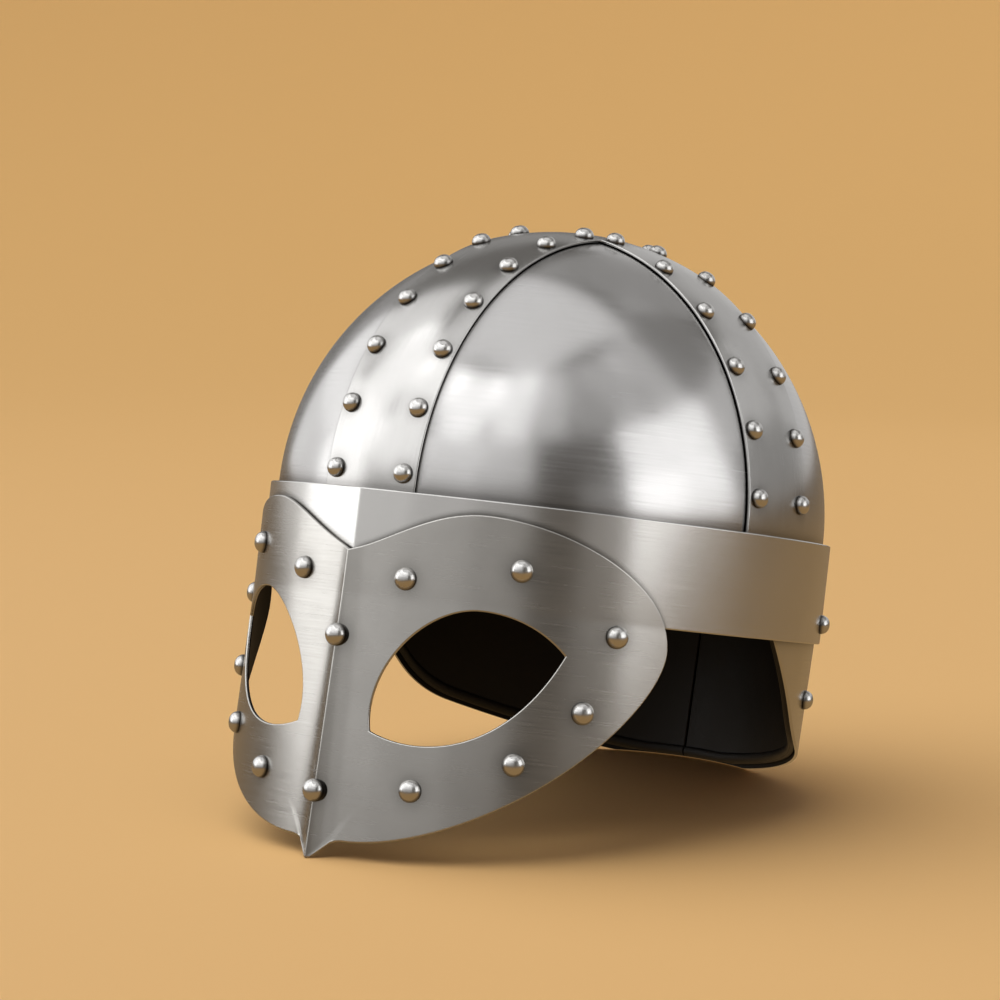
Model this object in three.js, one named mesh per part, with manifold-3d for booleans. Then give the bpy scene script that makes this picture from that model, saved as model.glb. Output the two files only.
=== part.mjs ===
import * as THREE from 'three';
import { mergeVertices } from 'three/addons/utils/BufferGeometryUtils.js';
import Module from 'manifold-3d';

const wasm = await Module();
wasm.setup();

// Spectacle helmet, in millimetres: a bowl of four panels under a riveted cross band, a brow band,
// a spectacle-shaped eye guard, and a steel neck guard lined with leather.
// It is drawn level, with the face towards -Y, the wearer's left towards +X and its centre in the
// middle of the brow band's top edge. At the end it leans back until it stands on its nose and neck.

const sides = [{ name: 'left', turn: 1 }, { name: 'right', turn: -1 }];

// Bowl: the upper half of an ellipsoid, measured on the outside of the panels
const bowlHalfWidth = 100;
const bowlHalfLength = 116;
const bowlHeight = 107.5;
const bowlSides = 44;
const sheet = 1.2;
const gap = 0.3;

// Layers, as distances outwards from the panels' outer face
const crossInside = gap;
const crossOutside = crossInside + sheet;
const browInside = crossOutside + gap;
const browOutside = browInside + sheet;
const guardSheet = 1.5;
const guardOutside = browOutside + gap + guardSheet;

// Bands: the arms of the cross, what they cover of the panels, and the ring round the brow
const bandHalfWidth = 20.5;
const sideBandMiddle = 2.3;
const panelTuck = 11;
const browHeight = 38.2;
const panelFoot = -12;
const crossFoot = -14;
const browArcs = 36;

// Rivets: round heads on the cross band and larger ones on the guards
const bandRivet = { radius: 3.7, height: 3.4, sides: 8 };
const guardRivet = { radius: 4.15, height: 3.5, sides: 8 };
const headSteps = 2;
const rivetRow = 15;
const lengthwiseRivets = { count: 7, first: 6.3, pitch: 24.2 };
const sidewaysRivets = { count: 6, first: 12.9, pitch: 25.2 };

// Eye guard: its outline and eye hole on the flat plate, before it is bent round the face.
// Across is measured from the nose ridge, and up from the brow band's top edge. Each row is a stretch of
// the edge that ends at "to" and is pulled towards its handles.
const eyeMiddle = { across: 47, up: -64 };
const noseHalfFlat = 1;
const guardStart = { across: 0, up: -22.6 };
const guardEdge = [
  { handles: [[19.3, -16], [32.8, -5.4]], to: [51, -5.4], steps: 6 },
  { handles: [[80.5, -5.4], [123.4, -22.6]], to: [123.4, -46.7], steps: 9 },
  { handles: [[123.4, -69], [60.8, -125.6]], to: [10.5, -126.3], steps: 11 },
  { handles: [[6, -126.6], [3.2, -129.8]], to: [noseHalfFlat, -133.4], steps: 2 },
  { handles: [], to: [0, -133.4], steps: 1 },
  { handles: [], to: [0, -22.6], steps: 5 },
];
const eyeStart = { across: 84, up: -51.7 };
const eyeEdge = [
  { handles: [[71.6, -39.8], [57.5, -39.3]], to: [52.7, -39.3], steps: 6 },
  { handles: [[32.4, -39.3], [11.3, -64.5]], to: [16.6, -86], steps: 7 },
  { handles: [[36.9, -93.5], [66, -88.9]], to: [84, -51.7], steps: 8 },
];
const guardRings = [0, 0.25, 0.5, 0.75, 1];
const ridgeHalfWidth = 13;
const ridgeTop = { up: -22.6, height: 2.4 };
const ridgeTip = { up: -133.4, height: 5 };
const flareStart = -browHeight;
const flareAtTip = 2;
const guardRivetPlaces = [
  { name: 'nose_side', across: 23.6, up: -30.9 },
  { name: 'brow', across: 65.1, up: -23.5 },
  { name: 'temple', across: 102.3, up: -43 },
  { name: 'cheek', across: 92.4, up: -71.1 },
  { name: 'under_eye', across: 69.8, up: -91.7 },
  { name: 'nose_root', across: 34.8, up: -105.1 },
];
const ridgeRivetPlaces = [
  { name: 'bridge', up: -53.4 },
  { name: 'nose', up: -109.4 },
];
const ridgeRivetSkirt = 2.4;
const ridgeHollowDepth = 6;

// Neck guard: the wall under the brow band, leaning in as it goes down, and its outline from the side
const neckTop = -22;
const neckBottom = -100;
const neckOutside = browInside - gap;
const neckLeanIn = 2.7;
const neckFront = { back: 9.4, up: -browHeight };
const neckCorner = { back: 45.1, up: -76.2 };
const neckRestStart = { back: 108.4, up: -92.7 };
const neckCornerRound = 14;
const neckCornerSteps = 6;
const lowerRivetsUp = -60;
const leanAtLowerRivets = (neckLeanIn * (neckTop - lowerRivetsUp)) / (neckTop - neckBottom);
const neckRivetRows = [
  { name: 'upper', up: -30.5, face: browOutside },
  { name: 'lower', up: lowerRivetsUp, face: neckOutside - leanAtLowerRivets },
];
const neckRivetPlaces = [
  { name: 'side', around: 113 },
  { name: 'quarter', around: 68 },
  { name: 'back', around: 23 },
];

// Neck lining: leather inside the neck guard, a little inside its edges, with a thicker turned hem
const leather = 2;
const hemExtra = 1.4;
const hemHeight = 5;
const liningInset = 1.5;
const insetShift = { back: 0.55, up: 0.88 };
const seamHalfGap = 0.3;

// Far enough to cut right through the helmet, and the smallest length that counts
const reach = 160;
const tolerance = 1e-6;

const steel = new THREE.MeshStandardMaterial({ color: 0xb3b3b5, roughness: 0.34, metalness: 1 });
const rivetSteel = new THREE.MeshStandardMaterial({ color: 0xc2c2c4, roughness: 0.25, metalness: 1 });
const blackLeather = new THREE.MeshStandardMaterial({ color: 0x1c1a19, roughness: 0.55, metalness: 0 });

function solidFrom(geometry) {
  const bare = geometry.clone();
  bare.deleteAttribute('normal');
  bare.deleteAttribute('uv');
  const merged = mergeVertices(bare);
  const vertProperties = new Float32Array(merged.attributes.position.array);
  const triVerts = new Uint32Array(merged.index.array);
  return new wasm.Manifold(new wasm.Mesh({ numProp: 3, vertProperties, triVerts }));
}

function geometryFrom(solid) {
  const cut = solid.getMesh();
  const geometry = new THREE.BufferGeometry();
  geometry.setAttribute('position', new THREE.BufferAttribute(cut.vertProperties, 3));
  geometry.setIndex(new THREE.BufferAttribute(cut.triVerts, 1));
  geometry.computeVertexNormals();
  return geometry;
}

function boxBetween(low, high) {
  const box = new THREE.Box3(new THREE.Vector3(...low), new THREE.Vector3(...high));
  const size = box.getSize(new THREE.Vector3());
  const middle = box.getCenter(new THREE.Vector3());
  return solidFrom(new THREE.BoxGeometry(size.x, size.y, size.z).translate(middle.x, middle.y, middle.z));
}

// The bowl's ellipsoid, moved outwards by an offset
function bowlTo(offset) {
  const ball = new THREE.SphereGeometry(1, bowlSides, bowlSides / 2).rotateX(Math.PI / 2);
  return solidFrom(ball.scale(bowlHalfWidth + offset, bowlHalfLength + offset, bowlHeight + offset));
}

// A wall of the neck: an oval cone frustum between two distances from the bowl, narrower below
function neckWall(inside, outside) {
  const [inner, outer] = [inside, outside].map((offset) => {
    const halfWidth = bowlHalfWidth + offset;
    const taper = 1 - neckLeanIn / halfWidth;
    const cone = new THREE.CylinderGeometry(1, taper, neckTop - neckBottom, 2 * browArcs);
    cone.rotateX(Math.PI / 2).scale(halfWidth, bowlHalfLength + offset, 1);
    return solidFrom(cone.translate(0, 0, (neckTop + neckBottom) / 2));
  });
  return outer.subtract(inner);
}

// A round rivet head along +Y, sunk below its seat by a skirt
function rivetHead({ radius, height, sides }, skirt) {
  const profile = [new THREE.Vector2(0, -skirt), new THREE.Vector2(radius, -skirt)];
  for (let step = 1; step < headSteps; step += 1) {
    const angle = (step / headSteps) * (Math.PI / 2);
    profile.push(new THREE.Vector2(radius * Math.cos(angle), height * Math.sin(angle)));
  }
  profile.push(new THREE.Vector2(0, height));
  return new THREE.LatheGeometry(profile, sides);
}

function standOn(geometry, place, outwards) {
  const turn = new THREE.Quaternion().setFromUnitVectors(new THREE.Vector3(0, 1, 0), outwards);
  return geometry.applyQuaternion(turn).translate(place.x, place.y, place.z);
}

// Half of the oval round the helmet at a distance from the bowl, over the wearer's left,
// from the front to the back or the other way
function halfOval(offset, fromBack) {
  const start = fromBack ? Math.PI / 2 : -Math.PI / 2;
  const halfWidth = bowlHalfWidth + offset;
  const halfLength = bowlHalfLength + offset;
  return new THREE.EllipseCurve(0, 0, halfWidth, halfLength, start, -start, fromBack);
}

function ovalOutwards(point, offset) {
  const across = point.x / (bowlHalfWidth + offset) ** 2;
  const along = point.y / (bowlHalfLength + offset) ** 2;
  return new THREE.Vector3(across, along, 0).normalize();
}

const helmet = new THREE.Group();

function addPiece(name, geometry, material) {
  const mesh = new THREE.Mesh(geometry, material);
  mesh.name = name;
  helmet.add(mesh);
}

// Bowl panels: quarters of a thin ellipsoid that reach under the cross band and the brow band
function addPanels() {
  const layer = bowlTo(0).subtract(bowlTo(-sheet));
  const edge = bandHalfWidth - panelTuck;
  const ends = [
    { name: 'front', near: sideBandMiddle - edge, far: -reach },
    { name: 'back', near: sideBandMiddle + edge, far: reach },
  ];
  for (const end of ends) {
    for (const side of sides) {
      const low = [Math.min(side.turn * edge, side.turn * reach), Math.min(end.near, end.far), panelFoot];
      const high = [Math.max(side.turn * edge, side.turn * reach), Math.max(end.near, end.far), reach];
      const panel = layer.intersect(boxBetween(low, high));
      addPiece(`panel_${end.name}_${side.name}`, geometryFrom(panel), steel);
    }
  }
}

// Rivets of one pair of arms, in two rows, evenly spaced up both arms.
// A row lies in a plane, where the bowl's section is a smaller ellipse of the same proportions.
function armRivets(lengthwise, { count, first, pitch }) {
  const halfSpan = lengthwise ? bowlHalfLength : bowlHalfWidth;
  const halfSpread = lengthwise ? bowlHalfWidth : bowlHalfLength;
  const rivets = [];
  for (const row of [-rivetRow, rivetRow]) {
    const offCentre = lengthwise ? row : row + sideBandMiddle;
    const shrink = Math.sqrt(1 - (offCentre / halfSpread) ** 2);
    const arc = new THREE.EllipseCurve(0, 0, halfSpan * shrink, bowlHeight * shrink, 0, Math.PI / 2);
    for (let index = 0; index < count; index += 1) {
      const point = arc.getPointAt((first + index * pitch) / arc.getLength());
      for (const turn of [-1, 1]) {
        const place = new THREE.Vector3(offCentre, turn * point.x, point.y);
        if (!lengthwise) place.set(turn * point.x, offCentre, point.y);
        const outwards = new THREE.Vector3(
          place.x / bowlHalfWidth ** 2, place.y / bowlHalfLength ** 2, place.z / bowlHeight ** 2,
        ).normalize();
        place.addScaledVector(outwards, crossOutside);
        rivets.push(solidFrom(standOn(rivetHead(bandRivet, sheet / 2), place, outwards)));
      }
    }
  }
  return rivets;
}

// Cross band: one strap over the panels, both ways, with its rivets
function addCrossBand() {
  const lengthwise = boxBetween([-bandHalfWidth, -reach, crossFoot], [bandHalfWidth, reach, reach]);
  const sideways = boxBetween(
    [-reach, sideBandMiddle - bandHalfWidth, crossFoot], [reach, sideBandMiddle + bandHalfWidth, reach],
  );
  const layer = bowlTo(crossOutside).subtract(bowlTo(crossInside));
  let band = layer.intersect(lengthwise.add(sideways));
  for (const rivet of [...armRivets(true, lengthwiseRivets), ...armRivets(false, sidewaysRivets)]) {
    band = band.add(rivet);
  }
  addPiece('cross_band', geometryFrom(band), steel);
}

function addBrowBand() {
  const ring = new THREE.Shape();
  ring.absellipse(0, 0, bowlHalfWidth + browOutside, bowlHalfLength + browOutside, 0, 2 * Math.PI);
  const inside = new THREE.Path();
  inside.absellipse(0, 0, bowlHalfWidth + browInside, bowlHalfLength + browInside, 0, 2 * Math.PI, true);
  ring.holes.push(inside);
  const upright = { depth: browHeight, bevelEnabled: false, curveSegments: browArcs };
  const band = new THREE.ExtrudeGeometry(ring, upright).translate(0, 0, -browHeight);
  addPiece('brow_band', geometryFrom(solidFrom(band)), steel);
}

// Points along an edge of the flat plate, without its start
function edgePoints(start, stretches) {
  const points = [];
  let from = new THREE.Vector2(start.across, start.up);
  for (const { handles, to, steps } of stretches) {
    const end = new THREE.Vector2(...to);
    const [first, second] = handles.map((handle) => new THREE.Vector2(...handle));
    const curve = first
      ? new THREE.CubicBezierCurve(from, first, second, end)
      : new THREE.LineCurve(from, end);
    points.push(...curve.getPoints(steps).slice(1));
    from = end;
  }
  return points;
}

const angleFromEye = (point) => Math.atan2(point.y - eyeMiddle.up, point.x - eyeMiddle.across);

// Where a closed edge is met, going from the middle of the eye in a direction
function edgeAt(points, angle) {
  const direction = new THREE.Vector2(Math.cos(angle), Math.sin(angle));
  const middle = new THREE.Vector2(eyeMiddle.across, eyeMiddle.up);
  let farthest = 0;
  points.forEach((end, index) => {
    const start = points.at(index - 1).clone().sub(middle);
    const along = end.clone().sub(middle).sub(start);
    const turn = direction.cross(along);
    const share = start.cross(direction) / turn;
    const distance = start.cross(along) / turn;
    const met = share >= -tolerance && share <= 1 + tolerance;
    if (met && distance > farthest) farthest = distance;
  });
  return direction.multiplyScalar(farthest).add(middle);
}

// A point of the bent plate on the wearer's left, at a depth out from its outer face. Below the brow band
// the plate flares, and at the nose it is folded to a ridge that grows towards the tip.
const guardOval = halfOval(guardOutside, false);
const guardOvalLength = guardOval.getLength();

function guardPoint(across, up, depth) {
  const onOval = guardOval.getPointAt(Math.max(across, 0) / guardOvalLength);
  const down = (ridgeTop.up - up) / (ridgeTop.up - ridgeTip.up);
  const ridge = THREE.MathUtils.lerp(ridgeTop.height, ridgeTip.height, down);
  const fold = ridge * Math.max(0, 1 - across / ridgeHalfWidth) ** 2;
  const flare = flareAtTip * Math.max(0, (flareStart - up) / (flareStart - ridgeTip.up));
  const place = new THREE.Vector3(onOval.x, onOval.y, up);
  return place.addScaledVector(ovalOutwards(onOval, guardOutside), depth + fold + flare);
}

// The whole plate between two depths: rings from each eye hole out to the plate's edge, both faces and
// the rims. The halves meet at the nose ridge, where there is no rim.
function guardGeometry(innerDepth, outerDepth) {
  const outline = edgePoints(guardStart, guardEdge);
  const eye = edgePoints(eyeStart, eyeEdge);
  const angles = [...new Set([...outline, ...eye].map(angleFromEye))].sort((a, b) => a - b);
  const rays = angles.map((angle) => ({ eye: edgeAt(eye, angle), edge: edgeAt(outline, angle) }));
  const positions = [];
  const addTriangle = (a, b, c) => {
    for (const corner of [a, b, c]) positions.push(corner.x, corner.y, corner.z);
    for (const corner of [a, c, b]) positions.push(-corner.x, corner.y, corner.z);
  };
  const addQuad = (a, b, c, d) => {
    addTriangle(a, b, c);
    addTriangle(a, c, d);
  };
  const [front, back] = [outerDepth, innerDepth].map((depth) => rays.map((ray) => guardRings.map((ring) => {
    const flat = ray.eye.clone().lerp(ray.edge, ring);
    return guardPoint(flat.x, flat.y, depth);
  })));
  const last = guardRings.length - 1;
  rays.forEach((ray, index) => {
    const next = (index + 1) % rays.length;
    for (let ring = 0; ring < last; ring += 1) {
      addQuad(front[index][ring], front[index][ring + 1], front[next][ring + 1], front[next][ring]);
      addQuad(back[index][ring], back[next][ring], back[next][ring + 1], back[index][ring + 1]);
    }
    addQuad(front[index][0], front[next][0], back[next][0], back[index][0]);
    const onRidge = Math.max(ray.edge.x, rays[next].edge.x) < tolerance;
    if (!onRidge) addQuad(front[index][last], back[index][last], back[next][last], front[next][last]);
  });
  const geometry = new THREE.BufferGeometry();
  geometry.setAttribute('position', new THREE.Float32BufferAttribute(positions, 3));
  return geometry;
}

function addEyeGuard() {
  addPiece('eye_guard', geometryFrom(solidFrom(guardGeometry(-guardSheet, 0))), steel);
  for (const { name, across, up } of guardRivetPlaces) {
    const place = guardPoint(across, up, gap);
    const outwards = ovalOutwards(guardOval.getPointAt(across / guardOvalLength), guardOutside);
    for (const side of sides) {
      const seat = new THREE.Vector3(side.turn * place.x, place.y, place.z);
      const facing = new THREE.Vector3(side.turn * outwards.x, outwards.y, 0);
      addPiece(`rivet_${name}_${side.name}`, standOn(rivetHead(guardRivet, 0), seat, facing), rivetSteel);
    }
  }
  // The ridge's own rivets are hollowed below to sit astride the fold
  const fold = solidFrom(guardGeometry(-ridgeHollowDepth, gap));
  for (const { name, up } of ridgeRivetPlaces) {
    const head = rivetHead(guardRivet, ridgeRivetSkirt);
    const astride = solidFrom(standOn(head, guardPoint(0, up, 0), new THREE.Vector3(0, -1, 0)));
    addPiece(`rivet_${name}`, geometryFrom(astride.subtract(fold)), rivetSteel);
  }
}

// The neck guard seen from the side, as a block across the helmet, drawn in by an inset.
// Its front edge runs down and back to a round corner, and the rear of its lower edge is flat on the floor.
function neckBlock(inset, floor) {
  const corner = new THREE.Vector2(neckCorner.back, neckCorner.up);
  const [before, after] = [neckFront, neckRestStart].map((end) => {
    const away = new THREE.Vector2(end.back, end.up).sub(corner).normalize();
    return corner.clone().addScaledVector(away, neckCornerRound);
  });
  const outline = new THREE.Shape();
  outline.moveTo(neckFront.back, reach);
  outline.lineTo(neckFront.back, neckFront.up);
  outline.lineTo(before.x, before.y);
  outline.quadraticCurveTo(corner.x, corner.y, after.x, after.y);
  outline.lineTo(neckRestStart.back, neckRestStart.up);
  outline.lineTo(reach, neckRestStart.up + (reach - neckRestStart.back) * floor);
  outline.lineTo(reach, reach);
  const through = { depth: 2 * reach, bevelEnabled: false, curveSegments: neckCornerSteps };
  const block = new THREE.ExtrudeGeometry(outline, through);
  block.translate(insetShift.back * inset, insetShift.up * inset, -reach);
  const [across, back, up] = [[1, 0, 0], [0, 1, 0], [0, 0, 1]].map((axis) => new THREE.Vector3(...axis));
  return solidFrom(block.applyMatrix4(new THREE.Matrix4().makeBasis(back, up, across)));
}

function addNeck(floor) {
  const inside = neckOutside - sheet;
  const guard = neckWall(inside, neckOutside).intersect(neckBlock(0, floor));
  addPiece('neck_guard', geometryFrom(guard), steel);

  const liningOutside = inside - gap;
  const outline = neckBlock(liningInset, floor);
  const flat = neckWall(liningOutside - leather, liningOutside).intersect(outline);
  const hem = neckWall(liningOutside - leather - hemExtra, liningOutside).intersect(outline)
    .subtract(neckBlock(liningInset + hemHeight, floor));
  const lining = flat.add(hem);
  for (const side of sides) {
    const ends = [side.turn * seamHalfGap, side.turn * reach].sort((a, b) => a - b);
    const half = boxBetween([ends[0], -reach, -reach], [ends[1], reach, reach]);
    addPiece(`neck_lining_${side.name}`, geometryFrom(lining.intersect(half)), blackLeather);
  }

  for (const { name: row, up, face } of neckRivetRows) {
    const oval = halfOval(face + gap, true);
    for (const { name, around } of neckRivetPlaces) {
      const point = oval.getPointAt(around / oval.getLength());
      const outwards = ovalOutwards(point, face + gap);
      for (const side of sides) {
        const seat = new THREE.Vector3(side.turn * point.x, point.y, up);
        const facing = new THREE.Vector3(side.turn * outwards.x, outwards.y, 0);
        const head = standOn(rivetHead(bandRivet, 0), seat, facing);
        addPiece(`rivet_neck_${row}_${name}_${side.name}`, head, rivetSteel);
      }
    }
  }
}

// The floor touches the inner edge of the nose tip and the rear of the neck guard's lower edge
const noseTip = guardPoint(noseHalfFlat, ridgeTip.up, -guardSheet);
const floorSlope = (neckRestStart.up - noseTip.z) / (neckRestStart.back - noseTip.y);

addPanels();
addCrossBand();
addBrowBand();
addEyeGuard();
addNeck(floorSlope);

// Lean back onto the floor, with the origin under the middle
helmet.rotation.x = -Math.atan(floorSlope);
const standing = new THREE.Group();
standing.add(helmet);
const bounds = new THREE.Box3().setFromObject(standing, true);
const middle = bounds.getCenter(new THREE.Vector3());
standing.position.set(-middle.x, -middle.y, -bounds.min.z);

export default standing;
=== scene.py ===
import math

import bmesh
import bpy
import numpy as np
from mathutils import Matrix, Vector


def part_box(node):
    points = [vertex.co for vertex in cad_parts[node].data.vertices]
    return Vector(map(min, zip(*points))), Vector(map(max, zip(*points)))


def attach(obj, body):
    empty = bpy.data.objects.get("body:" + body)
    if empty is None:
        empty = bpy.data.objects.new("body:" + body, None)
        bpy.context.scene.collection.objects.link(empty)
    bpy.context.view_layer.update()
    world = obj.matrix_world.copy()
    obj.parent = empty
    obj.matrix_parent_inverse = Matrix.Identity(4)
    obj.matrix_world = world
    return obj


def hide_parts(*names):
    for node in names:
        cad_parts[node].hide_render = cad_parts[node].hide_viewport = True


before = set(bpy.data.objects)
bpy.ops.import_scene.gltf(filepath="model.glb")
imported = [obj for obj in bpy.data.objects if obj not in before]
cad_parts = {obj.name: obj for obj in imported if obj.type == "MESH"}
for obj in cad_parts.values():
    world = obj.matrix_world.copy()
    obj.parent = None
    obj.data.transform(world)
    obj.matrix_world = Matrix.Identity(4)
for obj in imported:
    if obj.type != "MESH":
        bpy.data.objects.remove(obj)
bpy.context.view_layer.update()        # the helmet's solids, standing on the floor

# Everything is worked out level, in millimetres: face towards -Y, wearer's left towards +X,
# zero in the middle of the brow band's top edge. toRow leans it back and sets it on the floor.
mm = 0.001               # in metres
bowl = {"halfWidth": 100.0, "halfLength": 116.0, "height": 107.5, "sheet": 1.2}
bowlAxes = np.array([bowl["halfWidth"], bowl["halfLength"], bowl["height"]])
browHeight = 38.2
gap = 0.3                # between one layer of sheet and the next
turnSteps = 20000        # of a table of arc lengths all the way round
quarterSteps = 4000      # and of one up to a quarter of the way
weldReach = 0.002
wallSharp = 35           # edges of a wall that turn by more degrees than this are eased

# how far each layer's outer face stands off the bowl's
crossOutside = gap + bowl["sheet"]
browOutside = crossOutside + gap + bowl["sheet"]
neckOutside = browOutside - bowl["sheet"] - gap


# Small tools

def hexToLinear(code):
    # each sRGB channel to linear: divide by 12.92 near black, else raise to 2.4
    srgb = np.array([int(code[i:i + 2], 16) for i in (1, 3, 5)]) / 255
    linear = np.where(srgb <= 0.04045, srgb / 12.92, ((srgb + 0.055) / 1.055) ** 2.4)
    return (*linear.tolist(), 1.0)


def arcTable(angle, a, b):
    # arc length of an ellipse up to each angle: its speed, summed by the trapezium rule
    speed = np.hypot(a * np.cos(angle), b * np.sin(angle))
    return np.concatenate([[0.0], np.cumsum((speed[1:] + speed[:-1]) / 2 * np.diff(angle))])


def ovalAt(arc, offset, fromBack=False):
    # point and outward direction on the oval round the helmet, an arc length away from its front or back:
    # the ellipse's table of arc lengths, read backwards
    a, b = bowl["halfWidth"] + offset, bowl["halfLength"] + offset
    angle = np.linspace(-np.pi, np.pi, turnSteps + 1)
    length = arcTable(angle, a, b)
    turn = np.interp(arc, length - length[turnSteps // 2], angle)
    side = 1.0 if fromBack else -1.0
    point = np.stack([a * np.sin(turn), side * b * np.cos(turn), np.zeros_like(turn)], -1)
    outwards = np.stack([b * np.sin(turn), side * a * np.cos(turn), np.zeros_like(turn)], -1)
    return point, outwards / np.linalg.norm(outwards, axis=-1, keepdims=True)


def curveChain(start, curves):
    # cubic curves end to end: start, two handles and end, weighed by the cubic powers of t and 1 - t
    lines = []
    for handleA, handleB, end, steps in curves:
        t = np.linspace(0, 1, steps)[:, None]
        weights = ((1 - t) ** 3, 3 * (1 - t) ** 2 * t, 3 * (1 - t) * t ** 2, t ** 3)
        pulls = zip(weights, (start, handleA, handleB, end))
        lines.append(sum(weight * np.array(point, float) for weight, point in pulls))
        start = end
    return np.concatenate(lines)


def quadsOf(rows, columns):
    # corner numbers of the quads of a grid
    index = np.arange(rows * columns).reshape(rows, columns)
    return np.stack([index[:-1, :-1], index[:-1, 1:], index[1:, 1:], index[1:, :-1]], -1).reshape(-1, 4)


def toRow(points):
    # leaned back, in metres, and set on the floor
    return points @ lean.T * mm + shift


def bothSides(points):
    # the points, and the same on the other side of the middle
    return np.concatenate([points, points * [-1, 1, 1]])


def knit(mesh):
    # merge the seams and poles, and shade smooth
    work = bmesh.new()
    work.from_mesh(mesh)
    bmesh.ops.remove_doubles(work, verts=work.verts, dist=weldReach * mm)
    work.to_mesh(mesh)
    work.free()
    mesh.polygons.foreach_set("use_smooth", np.ones(len(mesh.polygons), bool))


def makePiece(name, grids):
    # one object from surface grids: each has points (rows, columns, 3) in mm,
    # a flat pattern in mm for the grain, and grime with painted shade from 0 to 1, which darkens the colour
    points, flats, grimeAndShades, faces = [], [], [], []
    start = 0
    for grid in grids:
        rows, columns = grid["points"].shape[:2]
        quads = quadsOf(rows, columns)
        faces.append(start + (quads[:, ::-1] if grid.get("flip") else quads))
        points.append(grid["points"].reshape(-1, 3))
        flats.append(np.broadcast_to(grid["flat"], (rows, columns, 2)).reshape(-1, 2))
        grimeAndShades.append(np.broadcast_to(grid.get("grimeAndShade", 0.0), (rows, columns)).reshape(-1))
        start += rows * columns
    points, flats, grimeAndShades, faces = (np.concatenate(part) for part in (points, flats, grimeAndShades, faces))
    mesh = bpy.data.meshes.new(name)
    mesh.from_pydata(toRow(points).tolist(), [], faces.tolist())
    uv = mesh.uv_layers.new(name="flat")
    uv.data.foreach_set("uv", flats[faces.ravel()].ravel())
    # the darkening attribute: part grime, part painted shade along seams, under edges and round rivet feet
    mesh.attributes.new("grimeAndShade", "FLOAT", "POINT").data.foreach_set("value", grimeAndShades)
    knit(mesh)
    piece = bpy.data.objects.new(name, mesh)
    bpy.context.collection.objects.link(piece)
    return piece


def giveThickness(piece, sheet, edge, sharpAngle=wallSharp):
    # a wall inwards from the surface, with its edges eased
    wall = piece.modifiers.new("sheet", "SOLIDIFY")
    wall.thickness, wall.offset, wall.use_even_offset = sheet * mm, -1, True
    wall.material_offset = 1
    ease = piece.modifiers.new("edge", "BEVEL")
    ease.width, ease.segments, ease.limit_method = edge * mm, 3, "ANGLE"
    ease.use_clamp_overlap = False
    ease.angle_limit, ease.harden_normals = math.radians(sharpAngle), True


def finishPiece(piece, slot, materials, *nodes):
    for material in materials:
        piece.data.materials.append(material)
    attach(piece, "root")
    if nodes:
        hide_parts(*nodes)


def nearness(points, spots, strength, reach):
    # the strength at a spot, fading as a smooth bell of the distance to the nearest spot
    flat = points.reshape(-1, 3)
    nearest = np.full(len(flat), np.inf)
    for spot in spots:
        nearest = np.minimum(nearest, np.linalg.norm(flat - spot, axis=1))
    return strength * np.exp(-(nearest / reach) ** 2).reshape(points.shape[:-1])


def fadeFrom(distance, strength, reach):
    # the strength at an edge, falling as an exponential of the distance from it
    return strength * np.exp(-np.maximum(distance, 0) / reach)


# The eye guard's flat pattern, and its place round the face

guard = {
    "sheet": 1.5, "edge": 0.5, "sharpAngle": 30, "grimeAtRivets": (0.5, 5.2),
    "ridgeHalfWidth": 13.0, "foldAtTop": 2.4, "foldAtTip": 5.0, "flareAtTip": 2.0,
    "rings": 24, "directions": 420, "cornerClear": 0.6, "ridgeSnap": 0.02, "ridgeSteps": 800, "tipSteps": 20,
    # one half laid flat: across from the ridge, and up from the brow band's top edge
    "eye": (47.0, -64.0), "ridgeTop": (0.0, -22.6), "ridgeTip": (0.0, -133.4), "noseEnd": (1.0, -133.4),
    "noseShoulder": (10.5, -126.3), "eyeOuter": (84.0, -51.7), "eyeInner": (16.6, -86.0),
}
# its curved edges: two handles, the end and the steps of each curve, which starts where the last one ends
guardCurves = {
    "top": [((19.3, -16.0), (32.8, -5.4), (51.0, -5.4), 400),
            ((80.5, -5.4), (123.4, -22.6), (123.4, -46.7), 400)],
    "cheek": [((123.4, -69.0), (60.8, -125.6), guard["noseShoulder"], 800),
              ((6.0, -126.6), (3.2, -129.8), guard["noseEnd"], 400)],
    "eye": [((71.6, -39.8), (57.5, -39.3), (52.7, -39.3), 400),
            ((32.4, -39.3), (11.3, -64.5), guard["eyeInner"], 800),
            ((36.9, -93.5), (66.0, -88.9), guard["eyeOuter"], 800)],
}
guardOutside = browOutside + gap + guard["sheet"]


def guardPlace(across, up, depth):
    # the flat pattern bent round the oval: a flare that grows below the brow band,
    # and a nose fold whose height falls with the cube of the distance from the ridge
    onOval, outwards = ovalAt(np.abs(across), guardOutside)
    topUp, tipUp = guard["ridgeTop"][1], guard["ridgeTip"][1]
    down = (topUp - up) / (topUp - tipUp)
    ridge = guard["foldAtTop"] + (guard["foldAtTip"] - guard["foldAtTop"]) * down
    fold = ridge * np.maximum(0, 1 - np.abs(across) / guard["ridgeHalfWidth"]) ** 3
    flare = guard["flareAtTip"] * np.maximum(0, (-browHeight - up) / (-browHeight - tipUp))
    place = onOval + outwards * (depth + fold + flare)[..., None]
    place[..., 2] = up
    place[..., 0] *= np.where(across < 0, -1, 1)
    return place


def guardTop():
    # the edge that lies on the brow band, from the ridge to the temple
    return curveChain(guard["ridgeTop"], guardCurves["top"])


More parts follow.
